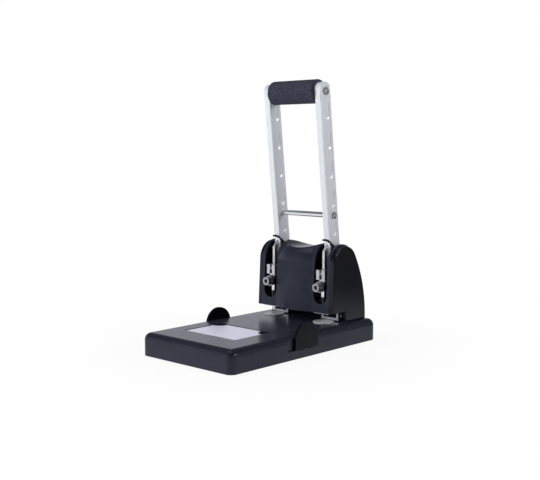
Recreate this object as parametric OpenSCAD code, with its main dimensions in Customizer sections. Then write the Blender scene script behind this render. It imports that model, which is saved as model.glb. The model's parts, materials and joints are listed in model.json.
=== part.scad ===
// Heavy duty two-hole paper punch: a long upright lever drives two punches down
// through a stack of paper lying in the throat between the housing and the base.
// X runs across the punch, Y from front to back and Z up from the table.

/* [Base] */
// Width of the base
base_w = 143; // [138:1:160]
// Length of the base from front to back
base_l = 250; // [240:1:280]
// Height of the base shell
base_h = 26; // [25:1:34]
// Radius of the base's corners and of its top edge
base_edge_r = 8; // [5:0.5:10]
// Wall thickness of the base shell
base_wall = 3; // [2.4:0.2:4]
// Thickness of the deck that the paper lies on
deck_t = 4; // [3:0.5:5]
// Thickness of the bottom plate
plate_t = 2; // [1.5:0.5:3]
// Height of the rubber feet
foot_h = 1.5; // [1:0.5:4]
// Diameter of the rubber feet
foot_d = 16; // [10:1:20]

/* [Label] */
// Width of the bare label plate
label_w = 78; // [50:1:90]
// Length of the label plate from front to back
label_l = 54; // [30:1:60]
// Thickness of the label plate
label_t = 0.6; // [0.4:0.1:1]
// Distance from the front of the base to the label plate
label_front = 43; // [30:1:50]
// Distance from the middle of the base to the middle of the label plate, to the left
label_left = 5; // [0:0.5:8]

/* [Punching] */
// Distance between the two holes
hole_spacing = 80; // [70:1:82]
// Diameter of the punched holes
hole_d = 6.5; // [5.5:0.1:7]
// Distance from the hole centres to the back edge of the base
hole_back = 63; // [60:1:70]
// Distance from the paper's edge to the hole centres
stop_depth = 12; // [11:0.5:14]
// Height of the throat that the paper goes into
throat_h = 12; // [10:0.5:14]
// Diameter of the die discs on the deck
die_d = 25; // [20:1:28]
// Diameter of the die bodies below the deck
die_body_d = 16; // [12:0.5:18]
// Height of the bridge that guides the punches
bridge_h = 8; // [7:0.5:10]
// Height of the block that holds each punch
holder_h = 10; // [9:0.5:12]

/* [Lever] */
// Angle that the lever swings through, in degrees
swing = 36; // [30:1:40]
// Distance from the punch axis back to the lever's axle
lever_reach = 20; // [18:0.5:22]
// Lean of the lever towards the front at rest, in degrees
arm_lean = 6.25; // [4:0.25:10]
// Length of each arm from the axle to the grip
arm_len = 222.5; // [180:0.5:260]
// Thickness of each arm
arm_t = 9; // [7:0.5:9]
// Depth of each arm from front to back
arm_d = 19; // [16:0.5:20]
// Distance from the axle to the cross bar
bar_at = 76; // [70:0.5:110]
// Diameter of the cross bar
bar_d = 6.5; // [5:0.5:8]
// Diameter of the foam grip
grip_d = 28.5; // [24:0.5:34]
// Diameter of the axle
axle_d = 10; // [8:0.5:11]
// Thickness of the drive plate in each arm
drive_t = 3.2; // [2.5:0.1:4]
// Wire diameter of the return springs
wire_d = 1.8; // [1.4:0.1:2]

/* [Housing] */
// Width of the slots that the arms move in
slot_w = 20; // [18:0.5:22]
// Thickness of the side covers
cheek_t = 6; // [5.5:0.5:8]
// Wall thickness of the covers
cover_wall = 2.5; // [2:0.1:2.8]
// Thickness of the steel side frames
frame_t = 3; // [2:0.2:3]
// Distance that the front cover bulges out in the middle
cover_bulge = 6; // [2:0.5:8]
// Depth of the hollow in the middle of the cover's top
cover_dip = 6; // [2:0.5:8]
// Lean of the housing's front towards the back, in degrees
front_lean = 3; // [1:0.5:4]

/* [Paper guides] */
// Width of the guide plates
guide_w = 39; // [30:1:44]
// Height of the guide plates above the deck
guide_rise = 13.5; // [10:0.5:18]
// Thickness of the guide plates
guide_t = 3.6; // [3:0.2:4]
// Distance from the hole centres forward to the middle of the guides
guide_ahead = 67.5; // [62:0.5:74]
// Width of the bars that the guides slide on
slide_w = 10; // [8:0.5:11]
// Height of the bars that the guides slide on
slide_h = 5; // [4:0.5:6]
// Length of the bars that the guides slide on
slide_l = 102; // [90:1:108]

/* [Chip drawer] */
// Width of the chip drawer
drawer_w = 110; // [90:1:114]
// Length of the chip drawer
drawer_l = 92; // [80:1:98]
// Height of the chip drawer
drawer_h = 14; // [12:0.5:15]

/* [Hidden] */
$fn = 64;

// How far a cut runs past the face that it opens
over = 1;
// Clearances: a pin in its bore, a sliding fit, a loose seat and a piece that swings past another
run_fit = 0.05;
slide_fit = 0.3;
seat_fit = 0.1;
swing_fit = 0.4;

// Heights and depths that the pieces share
deck_z = foot_h + base_h;
hole_y = base_l / 2 - hole_back;
hole_x = hole_spacing / 2;
pivot_y = hole_y + lever_reach;
stroke = 2 * lever_reach * tan(swing / 2);

// The stack over each hole: stripper, bridge, punch holder, fork, drive pin and axle
stripper_t = 1.5;
bridge_z = deck_z + throat_h + 0.5;
bridge_top = bridge_z + bridge_h;
holder_gap = 4.6;
holder_z = bridge_top + stroke + holder_gap;
holder_top = holder_z + holder_h;
fork_neck = 1.1;
fork_disc = 2.5;
fork_disc_r = 5.5;
fork_floor = 6.6;
pin_d = 4;
pin_z = holder_top + fork_neck + fork_disc + fork_floor;
fork_top = pin_z + 4.5;
pivot_z = pin_z - stroke / 2;

// Housing widths, from the hole outwards
slot_side = 4;
cover_half = hole_x + slot_w / 2 + slot_side;
house_half = cover_half + cheek_t;
frame_in = cover_half + 0.3;
frame_out = frame_in + frame_t;

// Housing outline, seen from the side
cover_front = hole_y - 8;
cheek_r = 21.5;
cover_rise = 2;
arch_z = pivot_z + 17.75;
arch_y = cover_front + cheek_r * cos(front_lean)
    + (arch_z + cheek_r * sin(front_lean) - deck_z - throat_h) * tan(front_lean);
arch_end = 35;
house_back = hole_y + 56;
back_bow = 6;
throat_y = hole_y + 18;
cover_r = 25;
cover_z = deck_z + throat_h;
top_z = arch_z + cheek_r + cover_rise;
cover_split = pivot_y + 10;
frame_inset = cover_wall + 0.5;
frame_front = cover_front + cheek_t + 0.5;

// Lugs that hold the covers to the frames, as (Y, Z), and pegs that hold the side covers
lug_at = [[arch_y + 2, arch_z + 15], [house_back - 11, deck_z + 38]];
lug_w = 10;
lug_t = 3;
peg_at = [[house_back - 22, deck_z + 12], [arch_y - 6, arch_z + 6]];
peg_d = 5;

// Bolts, boss and slot in front of each punch holder
bolt_z = holder_z + 4.8;
boss_y = hole_y - 9;
bolt_head_d = 10;
bolt_head_l = 6;
bolt_d = 6;
boss_d = 13;
slot_z = bolt_z - stroke - boss_d / 2 - 1;

// Cross rods in the frames
rod_d = 8;
stop_at = 11;
stop_off = arm_d / 2 + slide_fit + rod_d / 2;
stop_y = pivot_y - stop_at * sin(arm_lean) + stop_off * cos(arm_lean);
stop_z = pivot_z + stop_at * cos(arm_lean) + stop_off * sin(arm_lean);
tie_y = house_back - 14;
tie_z = deck_z + 22;

// Base inside
plate_top = foot_h + plate_t;
inner_half_w = base_w / 2 - base_wall;
inner_half_l = base_l / 2 - base_wall;
guide_y = hole_y - guide_ahead;
guide_in = base_w / 2 - guide_t + 0.8;
pocket_in = guide_in - slide_fit;
pocket_wall = 3;
guide_z = foot_h + 10;
finger_w = 11;
finger_h = 13;
slide_y = 7;
slide_z = foot_h + 12;
rail_half = 58;
rail_margin = 3;
drawer_z = plate_top + slide_fit;
post_y = [-base_l / 2 + 14, base_l / 2 - 50];
post_x = base_w / 2 - 10;
post_d = 8;
screw_d = 3.2;
screw_head_d = 6;
screw_head_h = 1.2;

// Points along an arc about c, from angle a0 to a1
function arc(c, r, a0, a1, n = 16) =
    [for (i = [0:n]) let (a = a0 + (a1 - a0) * i / n) c + r * [cos(a), sin(a)]];

// Points along an arc from p to q that bows out by s to the left of the way from p to q
function bow(p, q, s, n = 12) =
    let (
        half = norm(q - p) / 2,
        r = (half * half + s * s) / (2 * s),
        way = (q - p) / (2 * half),
        c = (p + q) / 2 + [-way[1], way[0]] * (s - r),
        spread = asin(half / r),
        middle = atan2(way[0], -way[1])
    )
    [for (i = [0:n]) let (a = middle + spread * (1 - 2 * i / n)) c + r * [cos(a), sin(a)]];

// A flat shape drawn as (Y, Z) and given thickness from x0 to x1
module along_x(x0, x1) {
    translate([x0, 0, 0]) rotate([90, 0, 90]) linear_extrude(x1 - x0) children();
}

// A flat shape drawn as (X, Z) and given thickness from y0 to y1
module along_y(y0, y1) {
    translate([0, y1, 0]) rotate([90, 0, 0]) linear_extrude(y1 - y0) children();
}

// A round bar along X
module rod_x(d, x0, x1, y, z) {
    translate([x0, y, z]) rotate([0, 90, 0]) cylinder(d = d, h = x1 - x0);
}

// A round bar along Y
module rod_y(d, y0, y1, x, z) {
    translate([x, y1, z]) rotate([90, 0, 0]) cylinder(d = d, h = y1 - y0);
}

// A box between two corners
module box(low, high) {
    translate(low) cube(high - low);
}

// A rectangle about the origin with rounded corners
module round_rect(w, l, r) {
    square([w - 2 * r, l], center = true);
    square([w, l - 2 * r], center = true);
    for (x = [-1, 1], y = [-1, 1]) translate([x * (w / 2 - r), y * (l / 2 - r)]) circle(r);
}

// A profile of width w from 0 to h with its two upper corners rounded
module round_top(w, h, r) {
    translate([-w / 2, 0]) square([w, h - r]);
    translate([-w / 2 + r, 0]) square([w - 2 * r, h]);
    for (x = [-1, 1]) translate([x * (w / 2 - r), h - r]) circle(r);
}

// The same shape on the left and on the right
module both_sides() {
    children();
    mirror([1, 0, 0]) children();
}

// Where the leaning front meets a height, drawn in by d and with the arch raised
function front_y(z, d, rise) = let (r = cheek_r - d)
    arch_y - r * cos(front_lean) - (arch_z + rise + r * sin(front_lean) - z) * tan(front_lean);

// Where the arch over the axle ends and the back begins, at a radius
function arch_point(r) = [arch_y, arch_z] + r * [cos(arch_end), sin(arch_end)];

// Side outline of the side covers, drawn in by d
function cheek_outline(d) = concat(
    [[house_back - d, deck_z], [throat_y + d, deck_z], [throat_y + d, cover_z + d]],
    [[front_y(cover_z + d, d, 0), cover_z + d]],
    arc([arch_y, arch_z], cheek_r - d, 180 - front_lean, arch_end + 1),
    bow(arch_point(cheek_r - d), [house_back - d, deck_z + over], back_bow)
);

// Side outline of the front and rear covers together, drawn in by d
function cover_outline(d) = concat(
    [[house_back - d, deck_z - over], [front_y(deck_z - over, d, cover_rise), deck_z - over]],
    arc([arch_y, arch_z + cover_rise], cheek_r - d, 180 - front_lean, 90),
    arc([arch_y, arch_z], cheek_r + cover_rise - d, 89, arch_end + 1),
    bow(arch_point(cheek_r + cover_rise - d), [house_back - d, deck_z], back_bow)
);

// The round front of the cover between the slots, drawn in by d
module cover_round(d) {
    bulge_half = hole_x - slot_w / 2;
    bulge_r = (bulge_half * bulge_half + cover_bulge * cover_bulge) / (2 * cover_bulge);
    bulge_y = cover_front - cover_bulge;
    low = deck_z - over;
    low_r = bulge_r + (cover_z - low) * tan(front_lean) - d / cos(front_lean);
    edge_z = top_z - cover_r;
    edge_r = bulge_r - cover_r * cos(front_lean)
        - (edge_z + cover_r * sin(front_lean) - cover_z) * tan(front_lean);
    intersection() {
        translate([0, bulge_y + bulge_r, 0]) rotate_extrude($fn = 128) polygon(concat(
            [[0, top_z - d], [0, low], [low_r, low]],
            arc([edge_r, edge_z], cover_r - d, front_lean, 90)));
        box([-bulge_half, bulge_y - over, low], [bulge_half, arch_y, top_z + over]);
    }
}

// Leans a piece back about the lower front edge of the housing
module leaning() {
    translate([0, cover_front, cover_z]) rotate([-front_lean, 0, 0]) translate([0, -cover_front, -cover_z])
        children();
}

module base_shell() {
    color([0.10, 0.10, 0.12]) difference() {
        union() {
            difference() {
                base_block();
                translate([0, 0, foot_h - over])
                    linear_extrude(base_h - deck_t + over)
                        round_rect(2 * inner_half_w, 2 * inner_half_l, base_edge_r - base_wall);
            }
            both_sides() guide_pocket_walls();
            screw_posts();
        }
        both_sides() guide_pocket();
        slide_channels(base_w);
        label_recess();
        for (x = [-hole_x, hole_x])
            translate([x, hole_y, deck_z - deck_t - over])
                cylinder(d = die_body_d + 2 * seat_fit, h = deck_t + 2 * over);
        box([-drawer_w / 2 - slide_fit, inner_half_l - over, plate_top - over],
            [drawer_w / 2 + slide_fit, base_l / 2 + over, drawer_z + drawer_h + slide_fit]);
        frame_bolt_holes(screw_d + 0.8, deck_z - deck_t - over, deck_z + over);
    }
}

// The outside of the base: a block with round corners and a round top edge
module base_block() {
    x1 = base_w / 2 - base_edge_r;
    y1 = base_l / 2 - base_edge_r;
    straight_h = base_h - base_edge_r;
    translate([0, 0, foot_h]) {
        along_y(-y1, y1) round_top(base_w, base_h, base_edge_r);
        along_x(-x1, x1) round_top(base_l, base_h, base_edge_r);
        for (x = [-x1, x1], y = [-y1, y1]) translate([x, y, 0]) {
            cylinder(r = base_edge_r, h = straight_h);
            translate([0, 0, straight_h]) sphere(base_edge_r);
        }
    }
}

// Walls round the pocket that a guide plate rests in
module guide_pocket_walls() {
    half = guide_w / 2 + slide_fit + pocket_wall;
    box([pocket_in - pocket_wall, guide_y - half - finger_w, plate_top],
        [inner_half_w + over / 2, guide_y + half, deck_z - deck_t + over / 2]);
}

// The pocket for a guide plate, with a finger notch in front of it
module guide_pocket() {
    half = guide_w / 2 + slide_fit;
    box([pocket_in, guide_y - half, guide_z - slide_fit],
        [base_w / 2 + over, guide_y + half, deck_z + over]);
    box([pocket_in, guide_y - half - finger_w, guide_z - slide_fit],
        [base_w / 2 + over, guide_y, guide_z + finger_h]);
}

// Square channels for the two guide bars, out to a distance from the middle
module slide_channels(reach) {
    for (side = [-1, 1])
        translate([0, guide_y - side * slide_y, slide_z])
            cube([2 * reach, slide_w + 2 * slide_fit, slide_h + 2 * slide_fit], center = true);
}

// Posts under the deck that take the base screws
module screw_posts() {
    for (x = [-1, 1], y = post_y)
        translate([x * post_x, y, plate_top])
            cylinder(d = post_d, h = deck_z - deck_t - plate_top + over / 2);
}

// Shallow recess for the label plate, deeper at its back corners to lift the plate with a thumb
label_y = -base_l / 2 + label_front + label_l / 2;
label_recess_t = 1;
label_margin = 1.5;
label_corner_r = 2;
thumb_r = 14;
thumb_t = 2;

module label_recess() {
    translate([-label_left, label_y, deck_z - label_recess_t]) linear_extrude(label_recess_t + over)
        label_room();
    translate([-label_left, label_y, deck_z - thumb_t]) linear_extrude(thumb_t + over) intersection() {
        label_room();
        thumb_rounds();
    }
}

// The recess seen from above
module label_room() {
    square([label_w + 2 * label_margin, label_l + 2 * label_margin], center = true);
}

// The rounds at the back corners, seen from above
module thumb_rounds() {
    for (x = [-1, 1]) translate([x * (label_w / 2 + label_margin), label_l / 2 + label_margin]) circle(thumb_r);
}

module label_plate() {
    color([0.82, 0.83, 0.90]) translate([-label_left, label_y, deck_z - label_recess_t])
        linear_extrude(label_t) difference() {
            round_rect(label_w, label_l, label_corner_r);
            thumb_rounds();
        }
}

module bottom_plate() {
    color([0.25, 0.25, 0.27]) difference() {
        translate([0, 0, foot_h]) linear_extrude(plate_t)
            round_rect(2 * (inner_half_w - seat_fit), 2 * (inner_half_l - seat_fit), base_edge_r - base_wall);
        base_screw_places() translate([0, 0, -over]) {
            cylinder(d = screw_d + 2 * seat_fit, h = plate_t + 2 * over);
            cylinder(d = screw_head_d + 2 * seat_fit, h = screw_head_h + over);
        }
    }
}

// Places of the screws that hold the bottom plate, on its underside
module base_screw_places() {
    for (x = [-1, 1], y = post_y) translate([x * post_x, y, foot_h]) children();
}

module base_screws() {
    color([0.6, 0.6, 0.62]) base_screw_places() {
        cylinder(d = screw_head_d, h = screw_head_h);
        cylinder(d = screw_d, h = plate_t);
    }
}

module rubber_feet() {
    inset = base_edge_r + foot_d / 2 + 10;
    color([0.08, 0.08, 0.08])
        for (x = [-1, 1], y = [-1, 1])
            translate([x * (base_w / 2 - inset), y * (base_l / 2 - inset), 0])
                cylinder(d = foot_d, h = foot_h);
}

module guide_rail() {
    half = slide_y + slide_w / 2 + slide_fit + rail_margin;
    color([0.15, 0.15, 0.17]) difference() {
        box([-rail_half, guide_y - half, plate_top],
            [rail_half, guide_y + half, slide_z + slide_h / 2 + rail_margin]);
        slide_channels(rail_half + over);
    }
}

// A round die with a wide collar on the deck
die_collar = 1;

module die() {
    depth = deck_t + 4;
    bore = hole_d + 2 * run_fit;
    difference() {
        translate([0, hole_y, deck_z]) {
            cylinder(d = die_d, h = die_collar);
            translate([0, 0, -depth]) cylinder(d = die_body_d, h = depth + die_collar / 2);
        }
        translate([0, hole_y, deck_z - depth - over]) cylinder(d = bore, h = depth + die_collar + 2 * over);
        translate([0, hole_y, deck_z - depth - over]) cylinder(d = bore + 2, h = depth - 5 + over);
    }
}

module die_left() {
    color([0.55, 0.55, 0.57]) translate([-hole_x, 0, 0]) die();
}

module die_right() {
    color([0.55, 0.55, 0.57]) translate([hole_x, 0, 0]) die();
}

// Places of the bolts that hold the side frames to the deck
module frame_bolt_holes(d, z0, z1) {
    for (x = [-1, 1], y = [throat_y + 9, house_back - 11])
        translate([x * (frame_in - 7), y, z0]) cylinder(d = d, h = z1 - z0);
}

// A steel side frame with a foot that turns in over the deck
module side_frame() {
    x0 = frame_in - over;
    x1 = frame_out + over;
    foot_w = 14;
    difference() {
        union() {
            intersection() {
                along_x(frame_in, frame_out) polygon(cheek_outline(frame_inset));
                leaning() box([x0, frame_front, 0], [x1, 2 * house_back, 2 * top_z]);
            }
            box([frame_in - foot_w, throat_y + frame_inset + 1, deck_z],
                [frame_in + over / 2, house_back - 2 * frame_inset, deck_z + frame_t]);
        }
        rod_x(axle_d, x0, x1, pivot_y, pivot_z);
        rod_x(rod_d, x0, x1, stop_y, stop_z);
        rod_x(rod_d, x0, x1, tie_y, tie_z);
        for (y = bridge_screw_y) rod_x(screw_d + 2 * seat_fit, x0, x1, y, bridge_z + bridge_h / 2);
        for (p = lug_at) rod_x(screw_d + 2 * seat_fit, x0, x1, p[0], p[1]);
        for (p = peg_at) rod_x(peg_d + 2 * seat_fit, x0, x1, p[0], p[1]);
        frame_bolt_holes(screw_d + 2 * seat_fit, deck_z - over, deck_z + frame_t + over);
    }
}

module frame_left() {
    color([0.45, 0.46, 0.48]) mirror([1, 0, 0]) side_frame();
}

module frame_right() {
    color([0.45, 0.46, 0.48]) side_frame();
}

module frame_bolts() {
    color([0.6, 0.6, 0.62]) {
        frame_bolt_holes(screw_d, deck_z - deck_t - 1.5, deck_z + frame_t + 0.1);
        frame_bolt_holes(screw_head_d, deck_z + frame_t, deck_z + frame_t + 3);
        frame_bolt_holes(screw_head_d, deck_z - deck_t - 2.5, deck_z - deck_t);
    }
}

// The cross piece that guides both punches between the frames
bridge_y0 = front_y(bridge_top, cover_wall, cover_rise) + slide_fit;
bridge_y1 = hole_y + stop_depth;
bridge_screw_y = [bridge_y1 - 10, bridge_y1 - 4];
bridge_screw_l = 10;

module guide_bridge() {
    color([0.40, 0.41, 0.43]) difference() {
        union() {
            box([-cover_half, bridge_y0, bridge_z], [cover_half, bridge_y1, bridge_top]);
            box([-frame_in, frame_front, cover_z + cover_wall], [frame_in, bridge_y1, bridge_top]);
        }
        for (x = [-hole_x, hole_x])
            translate([x, hole_y, bridge_z - over])
                cylinder(d = hole_d + 2 * run_fit, h = bridge_h + 2 * over);
        for (y = bridge_screw_y, side = [-1, 1])
            translate([side * frame_in, y, bridge_z + bridge_h / 2])
                rotate([0, 90, 0]) cylinder(d = screw_d, h = 2 * bridge_screw_l, center = true);
    }
}

module bridge_screws() {
    color([0.6, 0.6, 0.62]) both_sides() for (y = bridge_screw_y)
        rod_x(screw_d, frame_in - bridge_screw_l, frame_out, y, bridge_z + bridge_h / 2);
}

// The thin plate under the bridge that strips the paper off a punch
module stripper() {
    half = 10.5;
    lip = 1;
    difference() {
        union() {
            box([hole_x - half, bridge_y0 + 0.5, bridge_z - stripper_t],
                [hole_x + half, bridge_y1, bridge_z]);
            box([hole_x - half, bridge_y0 - 0.5, bridge_z - stripper_t - lip / 2],
                [hole_x + half, bridge_y0 + 1, bridge_z - lip / 2]);
        }
        translate([hole_x, hole_y, bridge_z - stripper_t - over])
            cylinder(d = hole_d + 2 * run_fit, h = stripper_t + 2 * over);
    }
}

module stripper_left() {
    color([0.78, 0.79, 0.80]) mirror([1, 0, 0]) stripper();
}

module stripper_right() {
    color([0.78, 0.79, 0.80]) stripper();
}

// The stirrup behind a punch that the edge of the paper meets
module paper_stop() {
    half = 13;
    leg = 3;
    stop_t = 1.5;
    low = deck_z + die_collar + slide_fit;
    translate([hole_x, 0, 0]) along_y(bridge_y1, bridge_y1 + stop_t) {
        translate([-half, low]) square([2 * half, leg]);
        for (x = [-half, half - leg]) translate([x, low]) square([leg, bridge_top - low]);
    }
}

module paper_stop_left() {
    color([0.80, 0.81, 0.82]) mirror([1, 0, 0]) paper_stop();
}

module paper_stop_right() {
    color([0.80, 0.81, 0.82]) paper_stop();
}

// The fixed axle of the lever, with a ring inside each frame
ring_t = 1.5;
ring_w = 2.5;
ring_groove = 0.8;

module axle() {
    color([0.70, 0.71, 0.73]) difference() {
        rod_x(axle_d, -frame_out, frame_out, pivot_y, pivot_z);
        both_sides() difference() {
            rod_x(axle_d + 2, frame_in - ring_t - seat_fit, frame_in - seat_fit, pivot_y, pivot_z);
            rod_x(axle_d - 2 * ring_groove, frame_in - ring_t - over, frame_in + over, pivot_y, pivot_z);
        }
    }
}

module axle_rings() {
    color([0.30, 0.30, 0.32]) both_sides() difference() {
        rod_x(axle_d + 2 * ring_w, frame_in - ring_t - seat_fit, frame_in - seat_fit, pivot_y, pivot_z);
        rod_x(axle_d - 2 * ring_groove, frame_in - ring_t - over, frame_in + over, pivot_y, pivot_z);
        box([frame_in - ring_t - over, pivot_y - 2, pivot_z - axle_d],
            [frame_in + over, pivot_y + 2, pivot_z]);
    }
}

module stop_rod() {
    color([0.30, 0.30, 0.32]) rod_x(rod_d, -frame_out, frame_out, stop_y, stop_z);
}

module tie_rod() {
    color([0.45, 0.46, 0.48]) rod_x(rod_d, -frame_out, frame_out, tie_y, tie_z);
}

// The front and rear covers in one, before they are parted and slotted
module cover_shell() {
    difference() {
        union() {
            along_x(-cover_half, cover_half) polygon(cover_outline(0));
            cover_round(0);
        }
        difference() {
            union() {
                along_x(-cover_half - over, cover_half + over) polygon(cover_outline(cover_wall));
                cover_round(cover_wall);
            }
            cover_dip_cut(cover_wall);
        }
        cover_dip_cut(0);
    }
}

// The hollow across the top of the cover, between the arms, made larger by d
module cover_dip_cut(d) {
    half = hole_x - slot_w / 2 - 2;
    r = (half * half + cover_dip * cover_dip) / (2 * cover_dip);
    rod_y(2 * (r + d), cover_front - cover_bulge - over, house_back, 0, top_z - cover_dip + r, $fn = 128);
}

module front_cover() {
    color([0.12, 0.12, 0.15]) difference() {
        intersection() {
            union() {
                cover_shell();
                cover_lugs(lug_at[0], [0, 2 * lug_w]);
            }
            box([-cover_half, cover_front - cover_bulge - over, cover_z],
                [cover_half, cover_split, top_z + over]);
        }
        for (x = [-hole_x, hole_x]) arm_slot(x, cover_front - cover_bulge - over, cover_split + over);
    }
}

// Lugs inside both ends of a cover, run on to its wall, with a hole for the screw
module cover_lugs(at, reach) {
    both_sides() difference() {
        intersection() {
            box([cover_half - lug_t, at[0] - lug_w / 2, at[1] - lug_w / 2],
                [cover_half, at[0] + lug_w / 2 + reach[0], at[1] + lug_w / 2 + reach[1]]);
            along_x(0, cover_half) polygon(cover_outline(cover_wall / 2));
        }
        rod_x(screw_d, cover_half - lug_t - over, cover_half + over, at[0], at[1]);
    }
}

// A slot for an arm and its clamp bolt, round at the bottom
module arm_slot(x, y0, y1) {
    r = slot_w / 2;
    translate([x, 0, 0]) along_y(y0, y1) {
        translate([0, slot_z + r]) circle(r);
        translate([-r, slot_z + r]) square([slot_w, top_z]);
    }
}

module rear_cover() {
    color([0.12, 0.12, 0.15]) intersection() {
        union() {
            cover_shell();
            cover_lugs(lug_at[1], [2 * lug_w, 0]);
        }
        box([-cover_half, cover_split + seat_fit, deck_z], [cover_half, house_back + over, top_z + over]);
    }
}

module cover_screws() {
    color([0.6, 0.6, 0.62]) both_sides() for (p = lug_at)
        rod_x(screw_d, cover_half - lug_t, frame_out, p[0], p[1]);
}

// A side cover: a thin cup over the steel side frame, with pegs that hold it in the frame
module cheek() {
    wall_x = house_half - cover_wall;
    intersection() {
        union() {
            difference() {
                along_x(cover_half + seat_fit, house_half) polygon(cheek_outline(0));
                intersection() {
                    along_x(cover_half - over, wall_x) polygon(cheek_outline(cover_wall));
                    cheek_corner(cheek_t - cover_wall);
                }
                box([cover_half - over, throat_y + cover_wall, deck_z - over],
                    [wall_x, house_back - cover_wall, deck_z + over]);
            }
            for (p = peg_at) rod_x(peg_d, frame_in, wall_x + over / 2, p[0], p[1]);
        }
        cheek_corner(cheek_t);
    }
}

// The room behind a rounded front corner of the side cover, seen from above
module cheek_corner(r) {
    corner_y = cover_front + cheek_t;
    leaning() linear_extrude(2 * top_z) {
        translate([cover_half, corner_y]) circle(r);
        translate([cover_half - cheek_t, corner_y - r]) square([cheek_t, cheek_t]);
        translate([cover_half - cheek_t, corner_y]) square([cheek_t + r, house_back]);
    }
}

module cheek_left() {
    color([0.09, 0.09, 0.11]) mirror([1, 0, 0]) cheek();
}

module cheek_right() {
    color([0.09, 0.09, 0.11]) cheek();
}

// The lever: arms along the local Z axis from the axle, leaning to the front
hub_r = 11;
arm_edge_r = 1.2;
arm_tip = 1.2;
slit_top = 42;
pocket_w = 9;
pocket_h = 21;
pocket_t = 0.6;
bowl_t = 0.9;
pocket_pitch = 34.3;
pocket_first = 50.5;
pocket_count = 5;
bush_d = axle_d + 3;
rivet_d = 4;
rivet_at = [18, 34];
grip_rod_d = 10;
grip_screw_d = 5;
screw_seat_d = 13.5;
screw_seat_t = 0.5;
bar_boss_d = 11;
bar_boss_t = 0.6;

// Turns a piece drawn upright from the axle to its lean at rest
module on_lever() {
    translate([0, pivot_y, pivot_z]) rotate([arm_lean, 0, 0]) children();
}

// A point on the arm's side, u behind its centre line and w from the axle, as (Y, Z)
function on_arm(u, w) = [pivot_y + u * cos(arm_lean) - w * sin(arm_lean),
    pivot_z + u * sin(arm_lean) + w * cos(arm_lean)];

module arm() {
    in_x = hole_x - arm_t / 2;
    out_x = hole_x + arm_t / 2;
    on_lever() difference() {
        union() {
            intersection() {
                translate([hole_x, 0, 0])
                    linear_extrude(arm_len + arm_d) round_rect(arm_t, arm_d, arm_edge_r);
                along_x(in_x, out_x) arm_outline();
            }
            rod_x(2 * hub_r, in_x, out_x, 0, 0);
            for (x = [in_x - bar_boss_t, out_x]) rod_x(bar_boss_d, x, x + bar_boss_t, 0, bar_at);
        }
        rod_x(bush_d, in_x - over, out_x + over, 0, 0);
        box([hole_x - drive_t / 2, -arm_d, -hub_r - over], [hole_x + drive_t / 2, arm_d, slit_top]);
        for (w = rivet_at) rod_x(rivet_d, in_x - over, out_x + over, 0, w);
        rod_x(grip_screw_d, in_x - over, out_x + over, 0, arm_len);
        rod_x(screw_seat_d, out_x - screw_seat_t, out_x + over, 0, arm_len);
        rod_x(grip_screw_d, in_x - over - bar_boss_t, out_x + over, 0, bar_at);
        for (i = [0:pocket_count - 1]) arm_pocket(pocket_first + i * pocket_pitch, in_x, out_x);
    }
}

// The arm seen from the side: a bar with a round top end
module arm_outline() {
    translate([-arm_d / 2, 0]) square([arm_d, arm_len + arm_tip]);
    translate([0, arm_len + arm_tip]) circle(d = arm_d);
}

// A shallow pocket that runs out in a round bowl at its lower end, on both faces of an arm
module arm_pocket(w, in_x, out_x) {
    half = pocket_w / 2;
    bowl_r = (half * half + bowl_t * bowl_t) / (2 * bowl_t);
    for (x = [in_x - over, out_x - pocket_t])
        box([x, -half, w + half], [x + pocket_t + over, half, w + pocket_h]);
    for (x = [in_x + bowl_t - bowl_r, out_x - bowl_t + bowl_r])
        translate([x, 0, w + half]) rotate([0, 0, 90]) sphere(bowl_r);
}

module arm_left() {
    color([0.76, 0.77, 0.80]) mirror([1, 0, 0]) arm();
}

module arm_right() {
    color([0.76, 0.77, 0.80]) arm();
}

// The steel plate in an arm's slit whose slotted nose moves the drive pin
nose_r = 4;
nose_len = lever_reach / cos(swing / 2);
nose_rise = 27;
drive_slot_d = pin_d + 2 * swing_fit;

module drive_plate() {
    x0 = hole_x - drive_t / 2;
    x1 = hole_x + drive_t / 2;
    difference() {
        union() {
            rod_x(2 * hub_r - 2, x0, x1, pivot_y, pivot_z);
            along_x(x0, x1) drive_nose(nose_r, 0);
            along_x(x0, x1) polygon([[hole_y - 0.5, pin_z + 1], [hole_y - 0.5, pin_z + nose_rise],
                on_arm(1 - arm_d / 2, slit_top), on_arm(arm_d / 2 - 1, slit_top), on_arm(arm_d / 2 - 1, 1),
                [pivot_y - hub_r + 2, pivot_z + 2.5]]);
        }
        rod_x(bush_d, x0 - over, x1 + over, pivot_y, pivot_z);
        along_x(x0 - over, x1 + over) drive_nose(drive_slot_d / 2, lever_reach);
        on_lever() for (w = rivet_at) rod_x(rivet_d, x0 - over, x1 + over, 0, w);
    }
}

// A bar with a round end that points from the axle at the drive pin, from a distance on
module drive_nose(r, from) {
    translate([pivot_y, pivot_z]) rotate(180 - swing / 2) {
        translate([from, -r]) square([nose_len - from, 2 * r]);
        translate([nose_len, 0]) circle(r);
        translate([max(from, r), 0]) circle(r);
    }
}

module drive_plate_left() {
    color([0.62, 0.63, 0.65]) mirror([1, 0, 0]) drive_plate();
}

module drive_plate_right() {
    color([0.62, 0.63, 0.65]) drive_plate();
}

module drive_rivets() {
    color([0.62, 0.63, 0.65]) both_sides() on_lever()
        for (w = rivet_at) rod_x(rivet_d, hole_x - arm_t / 2, hole_x + arm_t / 2, 0, w);
}

// A bronze bush that turns on the axle
module bush() {
    difference() {
        rod_x(bush_d, hole_x - arm_t / 2, hole_x + arm_t / 2, pivot_y, pivot_z);
        rod_x(axle_d + 2 * run_fit, hole_x - arm_t, hole_x + arm_t, pivot_y, pivot_z);
    }
}

module bush_left() {
    color([0.72, 0.55, 0.30]) mirror([1, 0, 0]) bush();
}

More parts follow.
